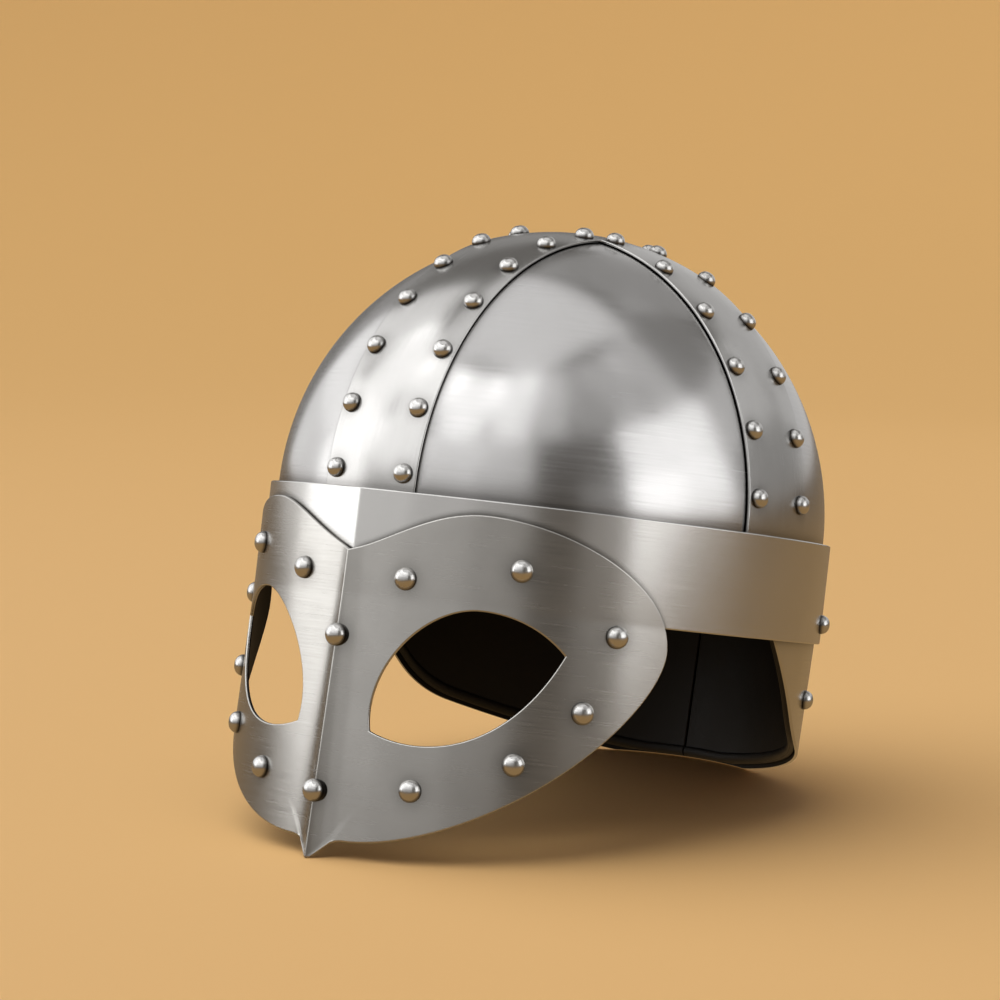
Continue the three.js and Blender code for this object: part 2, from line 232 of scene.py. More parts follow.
def guardEdges():
    # the outer edge from the ridge's top round to it again, the eye hole's edge, and the corners on both
    top = guardTop()
    outline = np.concatenate([
        top,
        curveChain(top[-1], guardCurves["cheek"]),
        np.linspace(guard["noseEnd"], guard["ridgeTip"], guard["tipSteps"]),
        np.linspace(guard["ridgeTip"], guard["ridgeTop"], guard["ridgeSteps"]),
    ])
    eye = curveChain(guard["eyeOuter"], guardCurves["eye"])
    cornerNames = ("ridgeTop", "ridgeTip", "noseEnd", "noseShoulder", "eyeOuter", "eyeInner")
    return outline, eye, np.array([guard[name] for name in cornerNames])


# The lean: the nose and the neck guard's rear edge both rest on the floor

neck = {
    "sheet": 1.2, "edge": 0.25, "top": -22.0, "bottom": -100.0, "leanIn": 2.7, "leanAtRivets": 1.3,
    "columns": 260, "rows": 36, "grimeAtRivets": (0.45, 4.6), "grimeAndShadeAtBrow": (0.6, 1.6),
    # the lower edge seen from the side, back and up: its front end, its corner and its rest on the floor
    "front": (9.4, -browHeight), "corner": (45.1, -76.2), "rest": (108.4, -92.7),
    "round": 14.0, "roundSteps": 60, "restLength": 60.0, "insetBack": 0.55, "insetUp": 0.88,
}
noseAcross, noseUp = guard["noseEnd"]
noseTip = guardPlace(np.array([noseAcross]), np.array([noseUp]), np.array([-guard["sheet"]]))[0]
floorSlope = (neck["rest"][1] - noseTip[2]) / (neck["rest"][0] - noseTip[1])
leanAngle = math.atan(floorSlope)
lean = np.array([
    [1, 0, 0],
    [0, math.cos(leanAngle), math.sin(leanAngle)],
    [0, -math.sin(leanAngle), math.cos(leanAngle)],
])
browMiddle = (np.array(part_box("brow_band")[0]) + np.array(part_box("brow_band")[1])) / 2
shift = browMiddle - lean @ np.array([0, 0, -browHeight / 2]) * mm
print("frame: leaned back by %.2f degrees" % math.degrees(leanAngle))


# Materials

mixFactor, mixFirst, mixSecond, mixResult = 0, 6, 7, 2       # sockets of a Mix node set to colours


def addNode(tree, kind, settings=(), links=()):
    # one node with its settings, and links into its sockets
    node = tree.nodes.new(kind)
    for key, value in dict(settings).items():
        if isinstance(key, int) or key in node.inputs:
            node.inputs[key].default_value = value
        else:
            setattr(node, key, value)
    for key, source in dict(links).items():
        tree.links.new(source, node.inputs[key])
    return node


def newMaterial(name):
    # an empty material with its shader
    material = bpy.data.materials.new(name)
    material.use_nodes = True
    tree = material.node_tree
    tree.nodes.clear()
    output = addNode(tree, "ShaderNodeOutputMaterial")
    shader = addNode(tree, "ShaderNodeBsdfPrincipled")
    tree.links.new(shader.outputs["BSDF"], output.inputs["Surface"])
    return material, tree, shader


def satinSteel(name, look):
    # mild steel sheet, ground and satin polished: soft bright reflections drawn out along the grain,
    # faint clouds, and dull brown-grey painted into the corners, seams and rivet feet: part grease, part
    # painted shade
    material, tree, shader = newMaterial(name)
    flat = addNode(tree, "ShaderNodeUVMap", {"uv_map": "flat"})
    long, wide = look["grain"]          # in mm, drawn wider than real grit so that it shows
    grainPlace = addNode(tree, "ShaderNodeMapping", {"Scale": (1 / long, 1 / wide, 1)},
                         {"Vector": flat.outputs["UV"]})
    grain = addNode(tree, "ShaderNodeTexNoise", {"Scale": 1.0, "Detail": 3.0, "Roughness": 0.6},
                    {"Vector": grainPlace.outputs["Vector"]})
    cloudPlace = addNode(tree, "ShaderNodeMapping", {"Scale": (1 / look["cloud"],) * 3},
                         {"Vector": flat.outputs["UV"]})
    cloud = addNode(tree, "ShaderNodeTexNoise", {"Scale": 1.0, "Detail": 4.0},
                    {"Vector": cloudPlace.outputs["Vector"]})
    grimeAndShade = addNode(tree, "ShaderNodeAttribute", {"attribute_name": "grimeAndShade"})
    toned = addNode(tree, "ShaderNodeMix", {"data_type": "RGBA", mixFirst: hexToLinear(look["dark"]),
                                            mixSecond: hexToLinear(look["light"])},
                    {mixFactor: cloud.outputs["Fac"]})
    # painted shade with some grime: the colour mixed towards a dark brown-grey where the attribute is high
    soiledAndShaded = addNode(tree, "ShaderNodeMix", {"data_type": "RGBA", mixSecond: hexToLinear(look["grimeAndShade"])},
                     {mixFactor: grimeAndShade.outputs["Fac"], mixFirst: toned.outputs[mixResult]})
    tree.links.new(soiledAndShaded.outputs[mixResult], shader.inputs["Base Color"])
    lowRough, highRough = look["roughness"]
    rough = addNode(tree, "ShaderNodeMapRange", {"From Min": 0.25, "From Max": 0.75,
                                                 "To Min": lowRough, "To Max": highRough},
                    {"Value": grain.outputs["Fac"]})
    tree.links.new(rough.outputs["Result"], shader.inputs["Roughness"])
    bump = addNode(tree, "ShaderNodeBump", {"Strength": look["bump"], "Distance": 0.02 * mm},
                   {"Height": grain.outputs["Fac"]})
    tree.links.new(bump.outputs["Normal"], shader.inputs["Normal"])
    shader.inputs["Metallic"].default_value = 1.0
    return material


panelSteel = satinSteel("satin_polished_steel", {           # raised sheet: the longest grain
    "grain": (60, 0.7), "cloud": 30, "dark": "#b9b8b7", "light": "#c9c8c8", "grimeAndShade": "#332f29",
    "roughness": (0.18, 0.28), "bump": 0.07,
})
bandSteel = satinSteel("satin_brushed_steel", {             # strip: the grain that shows the most
    "grain": (45, 0.6), "cloud": 26, "dark": "#b5b4b2", "light": "#c6c5c4", "grimeAndShade": "#3a352e",
    "roughness": (0.18, 0.28), "bump": 0.09,
})
browSteel = satinSteel("bright_brushed_steel", {            # the same strip, polished brighter
    "grain": (45, 0.6), "cloud": 26, "dark": "#c6c5c3", "light": "#d4d3d1", "grimeAndShade": "#3d3831",
    "roughness": (0.2, 0.27), "bump": 0.06,
})
guardSteel = satinSteel("ground_steel_plate", {             # thicker plate: duller, with a short fine grain
    "grain": (30, 0.55), "cloud": 22, "dark": "#b0aeaa", "light": "#c4c2be", "grimeAndShade": "#35302a",
    "roughness": (0.2, 0.29), "bump": 0.05,
})
rivetSteel = satinSteel("polished_rivet_steel", {           # smooth round heads, dark at the foot
    "grain": (6, 2), "cloud": 9, "dark": "#c2c1bf", "light": "#cccbca", "grimeAndShade": "#2c2823",
    "roughness": (0.22, 0.27), "bump": 0.0,
})


def blackPaint():
    # thin black paint on the inside of the sheet: dull, with a low gloss that greys at a glancing angle,
    # and faint speckles 4 mm across
    material, tree, shader = newMaterial("black_paint_on_steel")
    place = addNode(tree, "ShaderNodeTexCoord")
    speckle = addNode(tree, "ShaderNodeTexNoise", {"Scale": 1 / (4 * mm), "Detail": 3.0},
                      {"Vector": place.outputs["Object"]})
    tone = addNode(tree, "ShaderNodeMix", {"data_type": "RGBA", mixFirst: hexToLinear("#060505"),
                                           mixSecond: hexToLinear("#0c0b0a")},
                   {mixFactor: speckle.outputs["Fac"]})
    tree.links.new(tone.outputs[mixResult], shader.inputs["Base Color"])
    shader.inputs["Roughness"].default_value = 0.6
    shader.inputs["Specular IOR Level"].default_value = 0.2
    return material


def blackLeather():
    # smooth black hide: fine pebbled grain about 1 mm across, waxed to a soft sheen that wear varies
    material, tree, shader = newMaterial("black_waxed_leather")
    place = addNode(tree, "ShaderNodeTexCoord")
    pebble = addNode(tree, "ShaderNodeTexVoronoi", {"Scale": 1 / (1.1 * mm)},
                     {"Vector": place.outputs["Object"]})
    wear = addNode(tree, "ShaderNodeTexNoise", {"Scale": 1 / (20 * mm), "Detail": 5.0},
                   {"Vector": place.outputs["Object"]})
    tone = addNode(tree, "ShaderNodeMix", {"data_type": "RGBA", mixFirst: hexToLinear("#0a0908"),
                                           mixSecond: hexToLinear("#191613")},
                   {mixFactor: wear.outputs["Fac"]})
    tree.links.new(tone.outputs[mixResult], shader.inputs["Base Color"])
    rough = addNode(tree, "ShaderNodeMapRange", {"To Min": 0.42, "To Max": 0.62},
                    {"Value": wear.outputs["Fac"]})
    tree.links.new(rough.outputs["Result"], shader.inputs["Roughness"])
    shader.inputs["Specular IOR Level"].default_value = 0.3
    bump = addNode(tree, "ShaderNodeBump", {"Strength": 0.25, "Distance": 0.1 * mm},
                   {"Height": pebble.outputs["Distance"]})
    tree.links.new(bump.outputs["Normal"], shader.inputs["Normal"])
    return material


insidePaint = blackPaint()
liningLeather = blackLeather()
print("materials: five steels, paint and leather")


# Rivets: where they are, and their round heads

rivets = {
    "bandRadius": 3.7, "bandHeight": 3.4, "guardRadius": 4.15, "guardHeight": 3.6,
    "skirt": 0.35, "ridgeSkirt": 2.4, "shoulder": 0.85, "around": 28, "rise": 10,
    "grainRise": 1.5, "grainStep": 40, "grimeAndShadeReach": 0.9,
    # on the cross band: how many to an arm, the first one's arc length and the pitch, and the rows' places
    "lengthwise": (7, 6.3, 24.2), "sideways": (6, 12.9, 25.2), "row": 15.0, "sideMiddle": 2.3,
    # on the eye guard: across and up on its flat pattern, and up the ridge
    "guardPlaces": {
        "nose_side": (23.6, -30.9), "brow": (65.1, -23.5), "temple": (102.3, -43.0),
        "cheek": (92.4, -71.1), "under_eye": (69.8, -91.7), "nose_root": (34.8, -105.1),
    },
    "ridgePlaces": {"bridge": -53.4, "nose": -109.4},
    # on the neck guard: each row's height and its stand off the bowl, and arc lengths from the back
    "neckRows": {"upper": (-30.5, browOutside), "lower": (-60.0, neckOutside - neck["leanAtRivets"])},
    "neckAround": {"side": 113.0, "quarter": 68.0, "back": 23.0},
}
steep = 0.9              # a head whose axis is more upright than this takes its sides from X, not Z


def bandSeats():
    # both rows of each pair of arms: evenly spaced arc lengths up the bowl's section in the row's plane,
    # an ellipse of the bowl's proportions shrunk by the row's distance from the middle
    seats = []
    height = bowlAxes[2]
    angle = np.linspace(0, np.pi / 2, quarterSteps + 1)
    arms = ((1, 0, 0.0, rivets["lengthwise"]), (0, 1, rivets["sideMiddle"], rivets["sideways"]))
    for spanAxis, rowAxis, middle, (count, first, pitch) in arms:
        span = bowlAxes[spanAxis]
        for row in (-rivets["row"], rivets["row"]):
            shrink = math.sqrt(1 - ((row + middle) / bowlAxes[rowAxis]) ** 2)
            arc = arcTable(angle, height, span) * shrink
            turn = np.interp(first + pitch * np.arange(count), arc, angle)
            for side in (-1, 1):
                place = np.zeros((count, 3))
                place[:, spanAxis] = side * span * shrink * np.cos(turn)
                place[:, rowAxis] = row + middle
                place[:, 2] = height * shrink * np.sin(turn)
                seats.append(place)
    seats = np.concatenate(seats)
    outwards = seats / bowlAxes ** 2
    outwards /= np.linalg.norm(outwards, axis=1, keepdims=True)
    return seats + outwards * crossOutside, outwards


def headGrids(seats, outwards, radius, height, skirt=rivets["skirt"]):
    # round heads turned about their own axis: radius falls as a cosine and height climbs as a sine,
    # a little square-shouldered, over a short straight skirt
    climb = np.linspace(0, np.pi / 2, rivets["rise"])
    out = np.concatenate([[0.0, 1.0], np.cos(climb) ** rivets["shoulder"]]) * radius
    out[-1] = 0
    lift = np.concatenate([[-skirt, -skirt], np.sin(climb) * height])
    turn = np.linspace(0, 2 * np.pi, rivets["around"] + 1)
    helper = np.where(np.abs(outwards[:, 2:]) < steep, [[0.0, 0.0, 1.0]], [[1.0, 0.0, 0.0]])
    sideA = np.cross(helper, outwards)
    sideA /= np.linalg.norm(sideA, axis=1, keepdims=True)
    sideB = np.cross(outwards, sideA)
    cosine, sine = np.cos(turn)[:, None], np.sin(turn)[:, None]
    ring = sideA[:, None, None] * cosine + sideB[:, None, None] * sine
    axis = (outwards[:, None] * lift[:, None])[:, :, None]
    points = seats[:, None, None] + ring * out[:, None, None] + axis
    flat = np.stack(np.meshgrid(turn * radius, lift * rivets["grainRise"]), -1)
    # painted shade with some grime: each head darkened near its foot, where it meets the plate
    grimeAndShade = np.exp(-(np.maximum(lift, 0) / rivets["grimeAndShadeReach"]) ** 2)[:, None]
    return [{"points": head, "flat": flat + rivets["grainStep"] * number, "grimeAndShade": grimeAndShade}
            for number, head in enumerate(points)]


def addHeads(name, grids, *nodes):
    finishPiece(makePiece(name, grids), "rivet_steel", [rivetSteel], *nodes)


def addRivets():
    # the heads of each group as one piece, and the middles of their seats
    bandSize = rivets["bandRadius"], rivets["bandHeight"]
    guardSize = rivets["guardRadius"], rivets["guardHeight"]
    sides = ("left", "right")
    seats, outwards = bandSeats()
    addHeads("cross_rivets", headGrids(seats, outwards, *bandSize), "cross_band")

    across, up = np.array(list(rivets["guardPlaces"].values())).T
    guardSeats = bothSides(guardPlace(across, up, np.zeros(len(up))))
    guardFacing = bothSides(ovalAt(across, guardOutside)[1])
    addHeads("guard_rivets", headGrids(guardSeats, guardFacing, *guardSize),
             *["rivet_%s_%s" % (place, side) for place in rivets["guardPlaces"] for side in sides])

    ridgeUp = np.array(list(rivets["ridgePlaces"].values()))
    ridgeSeats = guardPlace(np.zeros(len(ridgeUp)), ridgeUp, np.zeros(len(ridgeUp)))
    ridgeFacing = np.tile([0.0, -1.0, 0.0], (len(ridgeUp), 1))
    addHeads("ridge_rivets", headGrids(ridgeSeats, ridgeFacing, *guardSize, rivets["ridgeSkirt"]),
             *["rivet_%s" % place for place in rivets["ridgePlaces"]])

    around = np.array(list(rivets["neckAround"].values()))
    neckSeats, neckFacing = [], []
    for height, face in rivets["neckRows"].values():
        place, facing = ovalAt(around, face, True)
        place[:, 2] = height
        neckSeats.append(bothSides(place))
        neckFacing.append(bothSides(facing))
    neckSeats, neckFacing = np.concatenate(neckSeats), np.concatenate(neckFacing)
    addHeads("neck_rivets", headGrids(neckSeats, neckFacing, *bandSize),
             *["rivet_neck_%s_%s_%s" % (row, place, side) for row in rivets["neckRows"]
               for place in rivets["neckAround"] for side in sides])
    print("rivets: %d on the cross band, the rest on the guards" % len(seats))
    return seats, np.concatenate([guardSeats, ridgeSeats]), neckSeats


bandSpots, guardSpots, neckSpots = addRivets()


# Bowl panels

panel = {
    "edge": 9.5, "foot": -12.0, "size": 90, "topShare": 0.985, "rim": 0.2,
    "grainRadius": 108, "grainStep": 300,
    "grimeAndShadeAtBand": (0.55, 1.2), "grimeAndShadeAtBrow": (0.6, 2.2), "grimeAndShadeFoot": 0.5,
}


def addPanels():
    # a quarter of the ellipsoid: rows at even elevation, each from under one band to under the other
    width, length, height = bowlAxes
    middle = rivets["sideMiddle"]
    top = panel["topShare"] * math.acos(panel["edge"] * math.hypot(1 / width, 1 / length))
    rise = np.linspace(math.asin(panel["foot"] / height), top, panel["size"])[:, None]
    share = np.linspace(0, 1, panel["size"])[None, :]
    for end, along in (("front", -1), ("back", 1)):
        reach = panel["edge"] + along * middle
        first = np.arcsin(np.clip(panel["edge"] / (width * np.cos(rise)), 0, 1))
        last = np.arccos(np.clip(reach / (length * np.cos(rise)), 0, 1))
        turn = first + (last - first) * share
        x = width * np.cos(rise) * np.sin(turn)
        y = along * length * np.cos(rise) * np.cos(turn)
        z = height * np.sin(rise) + 0 * turn
        quarter = np.stack([x, y, z], -1)
        flat = np.stack([turn * panel["grainRadius"], rise * panel["grainRadius"] + 0 * turn], -1)
        # painted shade with some grime: darker next to the bands' edges and just above the brow band, where
        # the panel tucks under them
        fromBand = np.minimum(np.abs(x), np.abs(y - middle)) - cross["halfWidth"]
        grimeAndShade = np.maximum(fadeFrom(fromBand, *panel["grimeAndShadeAtBand"]),
                           fadeFrom(z - panel["grimeAndShadeFoot"], *panel["grimeAndShadeAtBrow"]))
        for side, mirror in (("left", 1), ("right", -1)):
            piece = makePiece("panel_skin_%s_%s" % (end, side), [{
                "points": quarter * [mirror, 1, 1], "flat": flat + panel["grainStep"] * (mirror + along),
                "grimeAndShade": grimeAndShade, "flip": mirror * along > 0,
            }])
            giveThickness(piece, bowl["sheet"], panel["rim"])
            finishPiece(piece, "panel_steel", [panelSteel, insidePaint], "panel_%s_%s" % (end, side))
    print("bowl: four panels")


# Cross band

cross = {
    "halfWidth": 20.5, "foot": -14.0, "acrossSteps": 28, "armSteps": 110, "edge": 0.5,
    "grainRadius": 110, "grainSide": 60, "grainTurn": 200, "grainCrown": 500,
    "grimeAtRivets": (0.5, 4.6), "grimeAndShadeAtBrow": (0.45, 2.0), "grimeAndShadeFoot": 0.8,
}


def addCrossBand():
    # a square over the crown, z from the ellipsoid at each x and y, and four arms that follow sections
    # of the ellipsoid in planes, from the square's side down to the foot
    axes = bowlAxes + crossOutside
    half, middle = cross["halfWidth"], rivets["sideMiddle"]
    spread = np.linspace(-half, half, cross["acrossSteps"] + 1)
    x, y = np.meshgrid(spread, spread + middle)
    crown = np.stack([x, y, axes[2] * np.sqrt(1 - (x / axes[0]) ** 2 - (y / axes[1]) ** 2)], -1)
    grids = [{"points": crown, "flat": np.stack([y, x + cross["grainCrown"]], -1)}]
    share = np.linspace(0, 1, cross["armSteps"] + 1)[:, None]
    for span, turned, lines in ((0, 1, spread + middle), (1, 0, spread)):
        for side in (-1, 1):
            start = half if span == 0 else half + side * middle
            shrink = np.sqrt(1 - (lines / axes[turned]) ** 2)
            first = np.arccos(start / (axes[span] * shrink))
            last = np.arcsin(cross["foot"] / (axes[2] * shrink))
            angle = first + (last - first) * share
            points = np.zeros((*angle.shape, 3))
            points[..., span] = side * axes[span] * shrink * np.cos(angle)
            points[..., turned] = lines
            points[..., 2] = axes[2] * shrink * np.sin(angle)
            grainAcross = lines + 0 * angle + cross["grainSide"] * side + cross["grainTurn"] * span
            flat = np.stack([angle * cross["grainRadius"], grainAcross], -1)
            grids.append({"points": points, "flat": flat, "flip": (side > 0) == (span == 0)})
    # painted shade with some grime: darker round each rivet and along the foot, where the band tucks under
    # the brow band
    for grid in grids:
        fromFoot = grid["points"][..., 2] - cross["grimeAndShadeFoot"]
        grid["grimeAndShade"] = np.maximum(nearness(grid["points"], bandSpots, *cross["grimeAtRivets"]),
                                   fadeFrom(fromFoot, *cross["grimeAndShadeAtBrow"]))
    piece = makePiece("cross_band_skin", grids)
    giveThickness(piece, bowl["sheet"], cross["edge"])
    finishPiece(piece, "band_steel", [bandSteel, insidePaint], "cross_band")
    print("cross band: %d faces before its wall" % len(piece.data.polygons))


# Brow band

brow = {
    "aroundSteps": 640, "heightSteps": 44, "keel": 0.9, "keelHalfWidth": 16.0, "edge": 0.5, "sharpAngle": 60,
    "grimeAtRivets": (0.45, 4.6), "grimeAndShadeAtGuard": (0.75, 1.3), "seamThinning": 4,
}


def addBrowBand():
    # an upright oval wall, as long as the close formula for an ellipse gives,
    # with a soft keel at the front whose height falls with the square of the distance from it
    a, b = bowl["halfWidth"] + browOutside, bowl["halfLength"] + browOutside
    length = math.pi * (3 * (a + b) - math.sqrt((3 * a + b) * (a + 3 * b)))
    arc = np.linspace(-length / 2, length / 2, brow["aroundSteps"] + 1)[None, :]
    up = np.linspace(-browHeight, 0, brow["heightSteps"] + 1)[:, None]
    place, outwards = ovalAt(arc, browOutside)
    keel = brow["keel"] * np.maximum(0, 1 - np.abs(arc) / brow["keelHalfWidth"]) ** 2
    points = (place + outwards * keel[..., None]) + np.zeros((up.size, 1, 1))
    points[..., 2] = up
    flat = np.stack([arc + 0 * up, up + 0 * arc], -1)
    # painted shade with some grime: darker round the neck guard's rivets and along the eye guard's top edge,
    # which lies on the band
    across, seamUp = guardTop().T
    seam = guardPlace(across, seamUp, np.full(len(across), browOutside - guardOutside))
    seamSpots = bothSides(seam[::brow["seamThinning"]])
    grimeAndShade = np.maximum(nearness(points, neckSpots, *brow["grimeAtRivets"]),
                       nearness(points, seamSpots, *brow["grimeAndShadeAtGuard"]))
    piece = makePiece("brow_band_skin", [{"points": points, "flat": flat, "grimeAndShade": grimeAndShade}])
    giveThickness(piece, bowl["sheet"], brow["edge"], brow["sharpAngle"])
    finishPiece(piece, "band_steel", [browSteel, insidePaint], "brow_band")
    print("brow band: ring of %.0f mm" % length)


# Eye guard

def addEyeGuard():
    # rings from each eye hole out to the plate's edge: along every direction from the middle of the eye,
    # points spaced evenly between the two edges
    outline, eye, corners = guardEdges()
    middle = np.array(guard["eye"])

    def polar(points):
        return np.arctan2(*(points - middle).T[::-1]), np.linalg.norm(points - middle, axis=1)

    def radiusAt(points, angle):
        turn, distance = polar(points)
        order = np.argsort(turn)
        return np.interp(angle, turn[order], distance[order], period=2 * np.pi)

    # every corner of an edge has its own direction, and the even ones keep clear of it
    even = np.linspace(-np.pi, np.pi, guard["directions"], endpoint=False)
    fixed = polar(corners)[0]
    clear = np.min(np.abs(even[:, None] - fixed), axis=1) > guard["cornerClear"] * (even[1] - even[0])
    angle = np.sort(np.concatenate([even[clear], fixed]))
    angle = np.append(angle, angle[0] + 2 * np.pi)
    share = np.linspace(0, 1, guard["rings"] + 1)[:, None]
    distance = radiusAt(eye, angle) * (1 - share) + radiusAt(outline, angle) * share
    across = np.maximum(middle[0] + distance * np.cos(angle), 0)
    across[-1] = np.where(across[-1] < guard["ridgeSnap"], 0, across[-1])       # the two halves meet
    up = middle[1] + distance * np.sin(angle)
    points = guardPlace(across, up, np.zeros_like(up))
    # painted shade with some grime: darker round its rivets
    grimeAndShade = nearness(points, guardSpots, *guard["grimeAtRivets"])
    flat = np.stack([across, up], -1)
    piece = makePiece("eye_guard_skin", [
        {"points": points, "flat": flat, "grimeAndShade": grimeAndShade, "flip": True},
        {"points": points * [-1, 1, 1], "flat": flat * [-1, 1], "grimeAndShade": grimeAndShade},
    ])
    giveThickness(piece, guard["sheet"], guard["edge"], guard["sharpAngle"])
    finishPiece(piece, "guard_steel", [guardSteel, insidePaint], "eye_guard")
    print("eye guard: %d faces before its wall" % len(piece.data.polygons))


# Neck guard and its lining

def neckEdgeUp(back, inset):
    # height of the lower edge at a distance back: front slope, round corner, rear slope,
    # and flat on the floor, moved in by an inset
    corner, front, rest = (np.array(neck[key]) for key in ("corner", "front", "rest"))
    before = corner + (front - corner) / np.linalg.norm(front - corner) * neck["round"]
    after = corner + (rest - corner) / np.linalg.norm(rest - corner) * neck["round"]
    t = np.linspace(0, 1, neck["roundSteps"])[:, None]
    bend = (1 - t) ** 2 * before + 2 * (1 - t) * t * corner + t ** 2 * after
    line = np.concatenate([[front], bend, [rest, rest + neck["restLength"] * np.array([1, floorSlope])]])
    return np.interp(back, line[:, 0] + neck["insetBack"] * inset, line[:, 1] + neck["insetUp"] * inset)


def neckWall(offset, arcs, inset, rows):
    # the wall from its top to its lower edge, narrowing evenly as it goes down
    a = bowl["halfWidth"] + offset
    top, _ = ovalAt(arcs, offset, True)
    share = np.linspace(0, 1, rows)[:, None]
    taper = neck["leanIn"] / a / (neck["top"] - neck["bottom"])
    low = neckEdgeUp(top[:, 1], inset)
    low = neckEdgeUp(top[:, 1] * (1 - taper * (neck["top"] - low)), inset)
    up = neck["top"] + (low - neck["top"]) * share
    points = top * (1 - taper * (neck["top"] - up))[..., None]
    points[..., 2] = up
    return points, np.stack([arcs + 0 * up, up], -1)


def arcWhere(back, offset):
    # arc length from the back to where the oval is that far back
    a, b = bowl["halfWidth"] + offset, bowl["halfLength"] + offset
    return arcTable(np.linspace(0, math.acos(back / b), quarterSteps + 1), a, b)[-1]


def addNeck():
    # the steel wall, and the leather inside it
    end = arcWhere(neck["front"][0], neckOutside)
    points, flat = neckWall(neckOutside, np.linspace(-end, end, neck["columns"]), 0, neck["rows"])
    # painted shade with some grime: darker round its rivets and just under the brow band's lower edge
    grimeAndShade = np.maximum(nearness(points, neckSpots, *neck["grimeAtRivets"]),
                       fadeFrom(-browHeight - points[..., 2], *neck["grimeAndShadeAtBrow"]))
    piece = makePiece("neck_guard_skin", [{"points": points, "flat": flat, "grimeAndShade": grimeAndShade}])
    giveThickness(piece, neck["sheet"], neck["edge"])
    finishPiece(piece, "band_steel", [bandSteel, insidePaint], "neck_guard")
    for side, mirror in (("left", 1), ("right", -1)):
        addLining(side, mirror)
    print("neck: guard, two lining panels and their hems")


lining = {
    "leather": 2.0, "inset": 1.5, "seamHalfGap": 0.35, "columns": 160, "rows": 40, "edge": 0.5,
    "hemHeight": 4.0, "hemSwell": 0.9, "hemSteps": 14, "hemSheet": 0.8, "hemEdge": 0.15,
}


def addLining(side, mirror):
    # a sheet of leather inside the guard, and a rolled hem along its lower edge:
    # half an ellipse, as tall as the hem, that swells inwards from the sheet
    offset = neckOutside - neck["sheet"] - gap
    end = arcWhere(neck["front"][0] + lining["inset"], offset)
    arcs = np.linspace(lining["seamHalfGap"], end, lining["columns"])
    sheet, flat = neckWall(offset, arcs, lining["inset"], lining["rows"])
    inner, _ = neckWall(offset - lining["leather"], arcs, lining["inset"], rows=2)
    edge = inner[-1]
    inwards = -edge * [1, 1, 0] / np.linalg.norm(edge[:, :2], axis=1, keepdims=True)
    halfTall = np.array([0, 0, lining["hemHeight"] / 2])
    turn = np.linspace(0, np.pi, lining["hemSteps"])[:, None, None]
    hem = edge + halfTall - halfTall * np.cos(turn) + inwards * lining["hemSwell"] * np.sin(turn)
    for name, points, pattern, thickness, ease in (
            ("neck_lining_skin_%s", sheet, flat, lining["leather"], lining["edge"]),
            ("neck_hem_%s", hem, np.zeros(2), lining["hemSheet"], lining["hemEdge"])):
        grid = {"points": points * [mirror, 1, 1], "flat": pattern, "flip": mirror < 0}
        piece = makePiece(name % side, [grid])
        giveThickness(piece, thickness, ease)
        finishPiece(piece, "lining_leather", [liningLeather, liningLeather], "neck_lining_%s" % side)


addPanels()
addCrossBand()
addBrowBand()
addEyeGuard()
addNeck()


# Floor, lights and camera

stage = {"floor": "#e8ba78", "roughness": 0.9, "flatRadius": 2.5, "radius": 13.0, "rise": 4.5,
         "sides": 128, "steps": 60}


def addFloor():
    # matt paper, even and without gloss, as a wide shallow dish: flat in the middle,
    # then rising with the cube of the distance from the flat
    material, tree, shader = newMaterial("matt_paper")
    shader.inputs["Base Color"].default_value = hexToLinear(stage["floor"])
    shader.inputs["Roughness"].default_value = stage["roughness"]
    turn = np.linspace(0, 2 * np.pi, stage["sides"] + 1)
    share = np.linspace(0, 1, stage["steps"])
    out = np.concatenate([[0], stage["flatRadius"] + (stage["radius"] - stage["flatRadius"]) * share])
    up = np.concatenate([[0], stage["rise"] * share ** 3])
    points = np.stack([out[:, None] * np.cos(turn), out[:, None] * np.sin(turn), up[:, None] + 0 * turn], -1)
    mesh = bpy.data.meshes.new("floor")
    mesh.from_pydata(points.reshape(-1, 3).tolist(), [], quadsOf(*points.shape[:2]).tolist())
    knit(mesh)
    mesh.materials.append(material)
    floor = bpy.data.objects.new("floor", mesh)
    floor.visible_glossy = False        # the steel mirrors the grey studio, not the paper
    bpy.context.collection.objects.link(floor)


softBoxes = {
    # a ring of tall soft boxes: azimuth from and to, and the brightness of their low, middle and high lamps
    "left_rear": (-150, -110, 0.07, 0.23, 0.06),
    "left_fill": (-110, -75, 0.95, 1.3, 1.1),
    "left_key": (-75, -40, 2.0, 2.0, 1.7),
    "front_left": (-40, -10, 0.55, 1.45, 1.65),
    "front": (-10, 20, 0.43, 0.97, 1.7),
    "front_right": (20, 44, 0.3, 0.76, 1.48),
    "dark_quarter": (44, 63, 0.0, 0.01, 0.72),
    "dark_right": (63, 82, 0.22, 0.05, 0.38),
    "right_key": (82, 104, 2.05, 1.52, 0.53),
    "right_fill": (104, 126, 1.62, 1.57, 0.6),
    "right_rear": (126, 165, 0.25, 0.6, 0.18),
    "rear": (165, 210, 0.55, 0.5, 0.3),
}
studio = {
    "distance": 1.6, "height": 0.12, "elevations": (0, 16, 34, 62), "topSize": 1.36, "topLevel": 0.9,
    "skyAzimuth": -60, "skyElevation": 58, "skyLevel": 2.45, "skySpread": 80,
    "ground": "#a8885c", "room": "#615d58", "groundEnds": -0.22, "roomStarts": 0.04,
}


def towards(azimuth, elevation):
    # direction out from the helmet; azimuth is from the front towards the wearer's left
    a, e = math.radians(azimuth), math.radians(elevation)
    return Vector((math.sin(a) * math.cos(e), -math.cos(a) * math.cos(e), math.sin(e)))


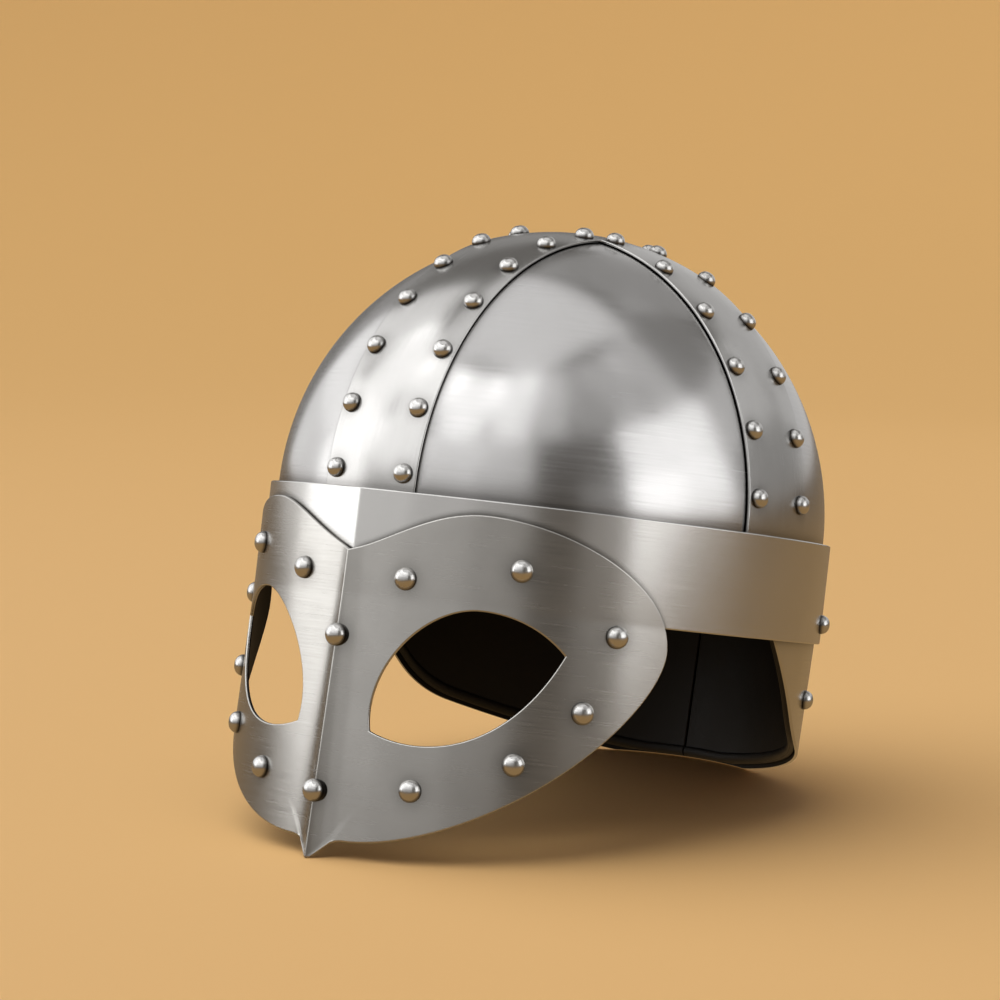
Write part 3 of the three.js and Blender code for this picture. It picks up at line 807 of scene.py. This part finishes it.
def addLamp(name, kind, direction):
    # a lamp out in that direction, facing the helmet
    lamp = bpy.data.objects.new(name, bpy.data.lights.new(name, kind))
    lamp.location = Vector((0, 0, studio["height"])) + direction * studio["distance"]
    lamp.rotation_euler = (-direction).to_track_quat("-Z", "Y").to_euler()
    bpy.context.collection.objects.link(lamp)
    return lamp


def addBox(name, direction, wide, tall, brightness):
    # a lamp of even brightness that only gloss sees
    lamp = addLamp(name, "AREA", direction)
    lamp.data.shape, lamp.data.size, lamp.data.size_y = "RECTANGLE", wide, tall
    lamp.data.energy = brightness * math.pi * wide * tall
    lamp.visible_diffuse = lamp.visible_camera = False


def addLights():
    # each lamp of a soft box is as wide and tall as its angles are at the ring's distance
    reach = 2 * studio["distance"]
    floors, ceilings = studio["elevations"][:-1], studio["elevations"][1:]
    for name, (left, right, *levels) in softBoxes.items():
        for low, high, brightness in zip(floors, ceilings, levels):
            middle = (low + high) / 2
            wide = reach * math.tan(math.radians(right - left) / 2) * math.cos(math.radians(middle))
            tall = reach * math.tan(math.radians(high - low) / 2)
            if brightness:
                addBox("%s_%d" % (name, low), towards((left + right) / 2, middle), wide, tall, brightness)
    addBox("top", towards(0, 90), studio["topSize"], studio["topSize"], studio["topLevel"])
    sky = addLamp("sky", "SUN", towards(studio["skyAzimuth"], studio["skyElevation"]))
    sky.data.energy, sky.data.angle = studio["skyLevel"], math.radians(studio["skySpread"])
    sky.visible_glossy = False          # lights the floor evenly, with a soft shadow


def addWorld():
    # two tones by how far a direction points up: warm ground below, blending to a grey room above
    world = bpy.data.worlds.new("studio")
    world.use_nodes = True
    tree = world.node_tree
    place = addNode(tree, "ShaderNodeTexCoord")
    height = addNode(tree, "ShaderNodeSeparateXYZ", links={"Vector": place.outputs["Object"]})
    share = addNode(tree, "ShaderNodeMapRange", {"From Min": studio["groundEnds"],
                                                 "From Max": studio["roomStarts"]},
                    {"Value": height.outputs["Z"]})
    tone = addNode(tree, "ShaderNodeMix", {"data_type": "RGBA", mixFirst: hexToLinear(studio["ground"]),
                                           mixSecond: hexToLinear(studio["room"])},
                   {mixFactor: share.outputs["Result"]})
    tree.links.new(tone.outputs[mixResult], tree.nodes["Background"].inputs["Color"])
    bpy.context.scene.world = world
    bpy.context.scene.view_settings.view_transform = "Standard"


camera = {"azimuth": 36.83, "elevation": 6.62, "roll": -0.67, "distance": 1.2789,
          "aim": (-0.00998, -0.00651, 0.11665), "lens": 119.9, "sensor": 36.0, "clipStart": 0.01}


def addCamera():
    # looks at the aim from its azimuth and elevation, turned a little about its own axis
    back = towards(camera["azimuth"], camera["elevation"])
    data = bpy.data.cameras.new("camera")
    data.lens, data.sensor_width, data.clip_start = camera["lens"], camera["sensor"], camera["clipStart"]
    eye = bpy.data.objects.new("camera", data)
    roll = Matrix.Rotation(math.radians(-camera["roll"]), 3, "Z")
    turn = (-back).to_track_quat("-Z", "Y").to_matrix() @ roll
    eye.matrix_world = Matrix.Translation(Vector(camera["aim"]) + back * camera["distance"]) @ turn.to_4x4()
    bpy.context.collection.objects.link(eye)
    bpy.context.scene.camera = eye


addFloor()
addLights()
addWorld()
addCamera()
print("stage: floor, %d soft boxes with a top and a sky, and the camera" % len(softBoxes))

bpy.context.view_layer.update()
